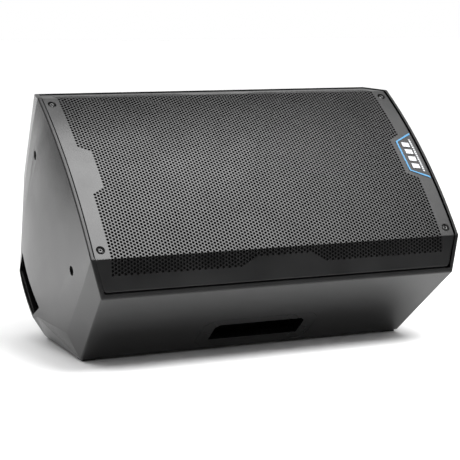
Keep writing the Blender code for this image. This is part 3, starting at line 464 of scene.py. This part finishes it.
def grille_triangles():
    """Front faces of the sheet in (x, w): points and triangles."""
    holes = hole_places()
    points, index, faces = [], {}, []

    def vertex(x, w):
        key = (round(x * 1e6), round(w * 1e6))
        if key not in index:
            index[key] = len(points)
            points.append((x, w))
        return index[key]

    def spoke(x, w, radius, angle):
        return vertex(x + radius * math.cos(angle), w + radius * math.sin(angle))

    corner_r = PITCH / math.sqrt(3)
    turns = [math.radians(30 * step) for step in range(12)]
    edge_uses = {}
    for x, w in holes.values():
        hexagon = [spoke(x, w, corner_r, t) for t in turns[::2]]
        circle = [spoke(x, w, HOLE_R, t) for t in turns]
        for side in range(6):
            here, after = hexagon[side], hexagon[(side + 1) % 6]
            near, middle, far = (circle[(2 * side + k) % 12] for k in range(3))
            faces += [(here, after, middle), (here, middle, near), (after, far, middle)]
            edge = (min(here, after), max(here, after))
            edge_uses[edge] = edge_uses.get(edge, 0) + 1
    rim_edges = [edge for edge, uses in edge_uses.items() if uses == 1]

    outline = [vertex(*point) for point in grille_outline(EDGE_ROLL)]
    rim_edges += list(zip(outline, outline[1:] + outline[:1]))
    screws = screw_places()
    extra = []
    for x, w in screws:
        for radius in SCREW_RINGS:
            ring = [spoke(x, w, radius, 2 * math.pi * s / RING_POINTS) for s in range(RING_POINTS)]
            if radius == SCREW_HOLE_R:
                rim_edges += list(zip(ring, ring[1:] + ring[:1]))
            extra += ring
    for w in np.arange(*MARGIN_W):
        for x in MARGIN_X:
            clear = all(math.dist((x, w), screw) > SCREW_CLEARANCE for screw in screws)
            if clear and abs(abs(w) - BEND) > 2 * FOLD_R:
                if abs(w) < BEND or abs(x) < MARGIN_END_X:
                    extra.append(vertex(x, w))
    for w in (-BEND, BEND):
        for offset in (-FOLD_R, -FOLD_R / 2, 0, FOLD_R / 2, FOLD_R):
            for x in np.arange(*FOLD_X):
                extra += [vertex(x, w + offset), vertex(-x, w + offset)]
    for x in np.arange(*EDGE_X):
        for side in (-1, 1):
            extra.append(vertex(x, side * across(EDGE_Z)))

    used = sorted({v for edge in rim_edges for v in edge} | set(extra))
    order = {v: n for n, v in enumerate(used)}
    flat = [Vector((points[v][0] * 1000, points[v][1] * 1000)) for v in used]
    edges = [(order[a], order[b]) for a, b in rim_edges]
    made, _, triangles, origins, _, _ = delaunay_2d_cdt(flat, edges, [], 0, 1e-5)
    back = []
    for place, origin in zip(made, origins):
        back.append(used[origin[0]] if origin else vertex(place[0] / 1000, place[1] / 1000))

    polygon = np.array(grille_outline(EDGE_ROLL))
    ahead = np.roll(polygon, -1, axis=0)

    def inside(x, w):
        (here_x, here_w), (next_x, next_w) = polygon.T, ahead.T
        crosses = (here_w > w) != (next_w > w)
        with np.errstate(divide="ignore", invalid="ignore"):
            at = here_x + (w - here_w) * (next_x - here_x) / (next_w - here_w)
        return bool(np.count_nonzero(crosses & (x < at)) % 2)

    def punched(x, w):
        best = None
        for i in range(round(x / COLUMN) - 1, round(x / COLUMN) + 2):
            j = round(w / PITCH - 0.5 * (i % 2))
            for k in (j - 1, j, j + 1):
                d = math.dist((x, w), (i * COLUMN, (k + 0.5 * (i % 2)) * PITCH))
                if best is None or d < best[0]:
                    best = (d, (i, k))
        return best[1] in holes

    for triangle in triangles:
        corners = [made[v] / 1000 for v in triangle]
        x, w = (sum(c[axis] for c in corners) / 3 for axis in (0, 1))
        if punched(x, w) or not inside(x, w):
            continue
        if any(math.dist((x, w), screw) < SCREW_HOLE_R * 0.98 for screw in screws):
            continue
        faces.append(tuple(back[v] for v in triangle))
    return np.array(points), np.array(faces), screws


def sheet_depth(points, screws):
    """Depth of the sheet's face behind the plain front: the pressed dimples round the screws."""
    depth = np.zeros(len(points))
    for screw in screws:
        away = np.hypot(points[:, 0] - screw[0], points[:, 1] - screw[1])
        share = np.clip((DIMPLE_R - away) / (DIMPLE_R - DIMPLE_FLOOR_R), 0, 1)
        depth += DIMPLE_DEPTH * share * share * (3 - 2 * share)
    return depth


def thicken(points, faces, depth, thickness):
    """Front faces in (x, w) made into a closed sheet of cabinet-frame points."""
    used, faces = np.unique(faces, return_inverse=True)
    faces = faces.reshape(-1, 3)
    points, depth = points[used], depth[used]
    a, b, c = (points[faces[:, k]] for k in range(3))
    turned = (b[:, 0] - a[:, 0]) * (c[:, 1] - a[:, 1]) - (b[:, 1] - a[:, 1]) * (c[:, 0] - a[:, 0]) < 0
    faces[turned] = faces[turned][:, ::-1]
    count = len(points)
    front = on_front(points[:, 0], points[:, 1], GRILLE_RECESS + depth)
    rear = on_front(points[:, 0], points[:, 1], GRILLE_RECESS + depth + thickness)
    edges = np.concatenate([faces[:, [0, 1]], faces[:, [1, 2]], faces[:, [2, 0]]])
    keys = {(int(p), int(q)) for p, q in edges}
    walls = [(p, p + count, q + count, q) for p, q in keys if (q, p) not in keys]
    solid = [tuple(map(int, face)) for face in faces]
    solid += [tuple(int(v) + count for v in face[::-1]) for face in faces]
    return np.concatenate([front, rear]), solid + walls


def make_grille():
    points, faces, screws = grille_triangles()
    depth = sheet_depth(points, screws)
    middle = points[faces][:, :, 0].mean(axis=1)
    limits = np.linspace(-0.30, 0.30, STRIPS + 1)
    for strip in range(STRIPS):
        inside = (middle >= limits[strip]) & (middle < limits[strip + 1])
        body, solid = thicken(points, faces[inside], depth, SHEET)
        name = f"grille_sheet_{strip + 1}"
        mesh_object(name, body, solid, "grille_steel", "cabinet", smooth=35)
    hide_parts("grille")

    roll = [(0.0, 0.0)]
    for turn in (0.4, 0.8, 1.2, math.pi / 2):
        roll.append((EDGE_ROLL * math.sin(turn), EDGE_ROLL * (1 - math.cos(turn))))
    roll += [(EDGE_ROLL, EDGE_DEPTH), (EDGE_ROLL - SHEET, EDGE_DEPTH)]
    roll += [(EDGE_ROLL - SHEET, EDGE_ROLL), (0.0, SHEET)]
    outline = np.array(grille_outline(EDGE_ROLL))
    before, after = np.roll(outline, 1, axis=0), np.roll(outline, -1, axis=0)
    along = after - before
    outward = np.stack([along[:, 1], -along[:, 0]], axis=1)
    outward /= np.linalg.norm(outward, axis=1)[:, None]
    rings = [on_front(*(outline + outward * out).T, GRILLE_RECESS + deep) for out, deep in roll]
    count, body, solid = len(outline), np.concatenate(rings), []
    for ring in range(len(roll)):
        low, high = ring * count, (ring + 1) % len(roll) * count
        for here in range(count):
            following = (here + 1) % count
            solid.append((low + here, high + here, high + following, low + following))
    mesh_object("grille_edge", body, solid, "grille_steel", "cabinet", smooth=50)


def sheet_reach(w, inset):
    """Half length of the grille's sheet at a distance along the front's section, less an inset."""
    half = RIM_HALF - GRILLE_INSET
    share = (half - FRONT_HALF) / (RIM_HALF - FRONT_HALF)
    short = FRONT_REACH + share * (RIM_REACH - FRONT_REACH)
    return float(np.interp(abs(w), (BEND, across(half)), (FRONT_REACH, short))) - GRILLE_INSET - inset


def make_foam():
    """The foam behind the grille: one thin sheet round the bent front, with room for the screws."""
    edge = across(RIM_HALF - GRILLE_INSET) - FOAM_SIDE_INSET
    rows = np.linspace(-edge, edge, FOAM_GRID[0])
    columns = np.linspace(-1, 1, FOAM_GRID[1])
    points = np.array([(u * sheet_reach(w, FOAM_END_INSET), w) for w in rows for u in columns])
    screws = screw_places()
    faces = []
    for i in range(len(rows) - 1):
        for j in range(len(columns) - 1):
            near = i * len(columns) + j
            middle = (points[near] + points[near + len(columns) + 1]) / 2
            if all(math.dist(middle, screw) > DIMPLE_R for screw in screws):
                far = near + len(columns)
                faces += [(near, near + 1, far + 1), (near, far + 1, far)]
    swell_x, swell_w = (np.sin(points[:, k] * FOAM_WAVES[k]) for k in (0, 1))
    swell = FOAM_SWELL * swell_x * swell_w
    body, solid = thicken(points, np.array(faces), FOAM_DEPTH - GRILLE_RECESS + swell, FOAM_THICK)
    foam = mesh_object("foam_sheet", body, solid, "acoustic_foam", "cabinet", smooth=60)
    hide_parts("grille_foam")


def turned(profile, centre, axis, segments, sector=None):
    """Points and faces of a closed (radius, along) profile turned about an axis, fully or in part."""
    axis = Vector(axis).normalized()
    side = axis.orthogonal().normalized()
    up = axis.cross(side)
    start, sweep = sector or (0.0, 2 * math.pi)
    count = segments if sector is None else segments + 1
    points = []
    for step in range(count):
        angle = start + sweep * step / segments
        out = side * math.cos(angle) + up * math.sin(angle)
        points += [Vector(centre) + axis * along + out * radius for radius, along in profile]
    size, faces = len(profile), []
    for step in range(segments):
        here, after = step * size, (step + 1) % count * size
        for k in range(size):
            n = (k + 1) % size
            faces.append((here + k, here + n, after + n, after + k))
    if sector is not None:
        faces += [tuple(range(size - 1, -1, -1)), tuple(range((count - 1) * size, count * size))]
    return np.array([tuple(p) for p in points]), faces


def make_screws():
    """Button heads with a hex socket, down in the pressed dimples of the grille."""
    for number, (x, w) in enumerate(screw_places(), 1):
        tilt = float(np.interp(w, ALONG, CURVE_TILT))
        inward = Vector((0, math.cos(tilt), -math.sin(tilt)))
        seat = Vector(on_front(x, w, GRILLE_RECESS + DIMPLE_DEPTH).tolist())
        points, faces = turned(SCREW_HEAD, seat, inward, 24)
        body = mesh_object(f"screw_{number}", points, faces, "black_steel", "cabinet", smooth=40)
        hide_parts(f"grille_screw_{number}")


def slab_on_front(name, corners, low, high, slot, material=None):
    """A thin plate over the grille, from its corners in (x, w) and two heights over the sheet."""
    points, faces = [], []
    steps = 8
    (a, b), (c, d) = (corners[:2], corners[2:])
    for height in (low, high):
        for row in range(steps + 1):
            for ends in ((a, d), (b, c)):
                x = ends[0][0] + (ends[1][0] - ends[0][0]) * row / steps
                w = ends[0][1] + (ends[1][1] - ends[0][1]) * row / steps
                points.append(on_front(x, w, GRILLE_RECESS - height).tolist())
    top = 2 * (steps + 1)
    for row in range(steps):
        n = 2 * row
        faces += [(n, n + 1, n + 3, n + 2), (top + n, top + n + 2, top + n + 3, top + n + 1)]
        faces += [(n, n + 2, top + n + 2, top + n), (n + 1, top + n + 1, top + n + 3, n + 3)]
    faces += [(0, top, top + 1, 1), (2 * steps, 2 * steps + 1, top + 2 * steps + 1, top + 2 * steps)]
    return mesh_object(name, points, faces, slot, "cabinet", material=material)


def make_badge():
    """The plate on the grille, its outline of blue lines on three sides, and rows of plain marks."""
    near, far = BADGE_X
    low, high = BADGE_HALF
    corners = [(near, -low), (near, low), (far, high), (far, -high)]
    plate = slab_on_front("badge_sheet", corners, *BADGE_SHEET, "badge")
    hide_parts("badge_plate")
    line, blue = BADGE_LINE, FINISH["badge_line"]
    lean = line * (high - low) / (far - near)
    corners = [(near, -low), (near, low), (near + line, low), (near + line, -low)]
    slab_on_front("badge_line_long", corners, *BADGE_LIFT, "badge", blue)
    for name, side in (("upper", 1), ("lower", -1)):
        corners = [(near, side * (low - line)), (near, side * low), (far, side * high)]
        corners.append((far, side * (high - line - lean / 2)))
        slab_on_front(f"badge_line_{name}", corners[::side], *BADGE_LIFT, "badge", blue)
    for row, (near_x, far_x, count, pitch, slant) in enumerate(BADGE_ROWS, 1):
        for number in range(count):
            w = (number - (count - 1) / 2) * pitch
            half = BADGE_MARK_SHARE * pitch
            corners = [(near_x, w - half + slant), (near_x, w + half + slant)]
            corners += [(far_x, w + half - slant), (far_x, w - half - slant)]
            name = f"badge_mark_{row}_{number + 1:02d}"
            slab_on_front(name, corners, *BADGE_LIFT, "badge", FINISH["badge_mark"])


# ---------------------------------------------------------------- driver and wadding


def flexing_ring(name, node, slot, profile, sectors, inner, outer):
    """A ring round the woofer's axis, made in sectors."""
    for sector in range(sectors):
        start, sweep = 2 * math.pi * sector / sectors, 2 * math.pi / sectors
        points, faces = turned(profile, (WOOFER_X, 0, 0), (0, 1, 0), 4, (start, sweep))
        piece = f"{name}_{sector + 1:02d}"
        made = mesh_object(piece, points, faces, slot, "cabinet", smooth=70, free=True)
        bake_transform(made)
        if sector == 0:
            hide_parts(node)


def make_flexing_parts():
    """The half-roll surround and the corrugated spider, closed sections turned round the woofer."""
    inner, outer = SURROUND_RADII
    arch = []
    for step in range(13):
        angle = math.pi * step / 12
        middle, radius = (outer + inner) / 2, (outer - inner) / 2
        arch.append((middle - radius * math.cos(angle), SURROUND_FACE - SURROUND_RISE * math.sin(angle)))
    under = [(radius, along + SURROUND_SHEET) for radius, along in reversed(arch)]
    flexing_ring("surround", "woofer_surround", "rubber", arch + under, 24, inner, outer)
    inner, outer = SPIDER_RADII
    waves = []
    for step in range(37):
        share = step / 36
        along = SPIDER_FACE - SPIDER_WAVE * math.cos(6 * math.pi * share)
        waves.append((inner + (outer - inner) * share, along))
    under = [(radius, along + SPIDER_SHEET) for radius, along in reversed(waves)]
    flexing_ring("spider", "woofer_spider", "spider_cloth", waves + under, 16, *SPIDER_HOLD)


def make_wadding():
    """A teased block of wadding, lumpy all over and drawn in at its edges."""
    low, high = (np.array(corner) for corner in WADDING_BOX)
    bm = bmesh.new()
    bmesh.ops.create_cube(bm, size=2.0)
    bmesh.ops.subdivide_edges(bm, edges=bm.edges, cuts=23, use_grid_fill=True)
    points = np.array([v.co for v in bm.verts])
    faces = [tuple(v.index for v in face.verts) for face in bm.faces]
    bm.free()
    away = np.abs(points)
    round_off = 1 - 0.10 * (np.sort(away, axis=1)[:, 1] ** 6)
    broad, fine = points @ np.array([3.1, 5.3, 7.7]), points @ np.array([6.1, -4.2, 5.0])
    lumps = 0.05 * np.sin(broad + 1.3 * np.sin(fine))
    points = points * (round_off - 0.06 + lumps)[:, None]
    points = (low + high) / 2 + np.clip(points, -1, 1) * (high - low) / 2
    made = mesh_object("wadding_block", points, faces, "acoustic_foam", "cabinet", smooth=80)
    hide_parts("acoustic_wadding")


# ---------------------------------------------------------------- carried-over CAD nodes


def shell_region(centre, normal):
    """The moulded face a point of the shell is on: 1 the end, 2 and 3 its chamfers, 0 any other."""
    if abs(normal.x) < END_FACING or abs(centre.x) < END_FROM or normal.x * centre.x < 0:
        return 0
    side = abs(centre.z)
    if side < np.interp(centre.y, *CAP_EDGE) + CAP_EDGE_SLACK:
        return 1
    (near_y, near_z), (far_y, far_z) = CHAMFER_SPLIT
    split = near_y + (side - near_z) * (far_y - near_y) / (far_z - near_z)
    return 2 if centre.y < split else 3


def mark_creases(bm, region):
    """Keeps an edge sharp where it is steep, or where it parts two moulded faces of the shell."""
    for edge in bm.edges:
        faces = edge.link_faces
        edge.smooth = len(faces) == 2 and math.degrees(edge.calc_face_angle(0.0)) < STEEP
        if region and edge.smooth:
            one, other = (region[face] for face in faces)
            edge.smooth = one == other or 0 in (one, other)


def refined(node, slot, body):
    """A copy of a CAD node's mesh with merged points, whole flat faces and weighted normals."""
    mesh = frame["nodes"][node].data.copy()
    bm = bmesh.new()
    bm.from_mesh(mesh)
    bmesh.ops.remove_doubles(bm, verts=bm.verts, dist=MERGE_WITHIN)
    flat = math.radians(FLAT_WITHIN)
    bmesh.ops.dissolve_limit(bm, angle_limit=flat, verts=bm.verts, edges=bm.edges)
    home = CABINET.inverted()
    region = {}
    for face in bm.faces:
        face.smooth = True
        face.material_index = 0
        if node == "cabinet_shell":
            centre, normal = home @ face.calc_center_median(), home.to_3x3() @ face.normal
            region[face] = shell_region(centre, normal)
            if normal.y < RIM_FACING and centre.y < RIM_BACK:
                face.material_index = 1
    mesh.materials.clear()
    mesh.materials.append(FINISH[slot])
    if node == "cabinet_shell":
        mesh.materials.append(FINISH["rim_plastic"])
    mark_creases(bm, region)
    bm.to_mesh(mesh)
    bm.free()
    if mesh.has_custom_normals:
        mesh.attributes.remove(mesh.attributes["custom_normal"])
    made = bpy.data.objects.new(f"{node}_skin", mesh)
    bpy.context.scene.collection.objects.link(made)
    weighted = made.modifiers.new("weighted normals", "WEIGHTED_NORMAL")
    weighted.keep_sharp = True
    weighted.weight = 100
    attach(made, body)
    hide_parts(node)


def dress_nodes():
    for node, made in frame["nodes"].items():
        made.data.materials.clear()
        made.data.materials.append(FINISH[SLOTS[node]])


def refine_rest():
    """Refined copies of all the nodes that nothing above takes the place of."""
    replaced = {"grille", "grille_foam", "badge_plate", "acoustic_wadding"}
    replaced |= {"woofer_surround", "woofer_spider"}
    replaced |= {f"grille_screw_{number}" for number in (1, 2, 3, 4)}
    for body, nodes in frame["record"]["behaviour"]["bodies"].items():
        for node in nodes:
            if node not in replaced:
                refined(node, SLOTS[node], body)


# ---------------------------------------------------------------- studio


def make_sky(scene):
    """White for the eye. Mirrored rays see a dim patch and a veil, and the light comes from above."""
    world = bpy.data.worlds.new("studio")
    scene.world = world
    world.use_nodes = True
    nodes, links = world.node_tree.nodes, world.node_tree.links
    direction = nodes.new("ShaderNodeTexCoord").outputs["Generated"]
    path = nodes.new("ShaderNodeLightPath")

    def ramp(value, span, levels):
        made = nodes.new("ShaderNodeMapRange")
        made.interpolation_type = "SMOOTHSTEP"
        for socket, number in zip(("From Min", "From Max", "To Min", "To Max"), (*span, *levels)):
            made.inputs[socket].default_value = number
        links.new(value, made.inputs["Value"])
        return made.outputs["Result"]

    def toward(aim):
        made = nodes.new("ShaderNodeVectorMath")
        made.operation = "DOT_PRODUCT"
        made.inputs[1].default_value = Vector(aim).normalized()
        links.new(direction, made.inputs[0])
        return made.outputs["Value"]

    def glow(strength=None):
        made = nodes.new("ShaderNodeBackground")
        made.inputs["Color"].default_value = (1, 1, 1, 1)
        if strength:
            links.new(strength, made.inputs["Strength"])
        return made

    def choose(test, otherwise, chosen):
        made = nodes.new("ShaderNodeMixShader")
        links.new(path.outputs[test], made.inputs["Fac"])
        links.new(otherwise.outputs[0], made.inputs[1])
        links.new(chosen.outputs[0], made.inputs[2])
        return made

    mirrored = nodes.new("ShaderNodeMath")
    mirrored.operation = "MULTIPLY"
    links.new(ramp(toward(DIM_AIM), DIM_SPAN, SKY_LEVELS), mirrored.inputs[0])
    links.new(ramp(toward(BACK_AIM), BACK_SPAN, (1.0, BACK_LEVEL)), mirrored.inputs[1])
    split = nodes.new("ShaderNodeSeparateXYZ")
    links.new(direction, split.inputs["Vector"])
    fill = ramp(split.outputs["Z"], FILL_SPAN, FILL_LEVELS)
    lit = choose("Is Glossy Ray", glow(fill), glow(mirrored.outputs["Value"]))
    both = choose("Is Camera Ray", lit, glow())
    links.new(both.outputs[0], nodes["World Output"].inputs["Surface"])


def make_floor(scene):
    corners = [(x, y, 0) for y in (FLOOR_NEAR, FLOOR_REACH) for x in (FLOOR_LEFT, FLOOR_REACH)]
    mesh = bpy.data.meshes.new("studio_floor")
    mesh.from_pydata(corners, [], [(0, 1, 3, 2)])
    floor = bpy.data.objects.new("studio_floor", mesh)
    scene.collection.objects.link(floor)
    paper = finish_of("studio_paper", (0.95, 0.95, 0.95), 0.7, mottle=0.01, patch=1.0, grain=0.01)
    mesh.materials.append(paper)


def make_light(scene, name, place, aim, size, watts, fills):
    """A rectangular lamp, which either lights surfaces or is only mirrored in them."""
    light = bpy.data.lights.new(name, "AREA")
    light.shape = "RECTANGLE"
    light.size, light.size_y = size
    light.energy = watts
    made = bpy.data.objects.new(name, light)
    scene.collection.objects.link(made)
    made.location = place
    made.rotation_euler = (Vector(aim) - Vector(place)).to_track_quat("-Z", "Y").to_euler()
    made.visible_diffuse = fills
    made.visible_glossy = not fills


def make_camera(scene):
    camera = bpy.data.cameras.new("camera")
    camera.lens = CAMERA_LENS
    camera.sensor_width = 36.0
    made = bpy.data.objects.new("camera", camera)
    scene.collection.objects.link(made)
    made.location = CABINET.translation + Vector(CAMERA_PLACE)
    yaw, pitch = math.radians(CAMERA_YAW), math.radians(CAMERA_PITCH)
    ahead = Vector((math.sin(yaw) * math.cos(pitch), math.cos(yaw) * math.cos(pitch), -math.sin(pitch)))
    made.rotation_euler = ahead.to_track_quat("-Z", "Y").to_euler()
    scene.camera = made


def make_studio():
    scene = bpy.context.scene
    scene.view_settings.view_transform = "Standard"
    make_sky(scene)
    make_floor(scene)
    for light in LIGHTS:
        make_light(scene, *light)
    make_camera(scene)


dress_nodes()
make_grille()
make_foam()
make_screws()
make_badge()
make_flexing_parts()
make_wadding()
refine_rest()
make_studio()
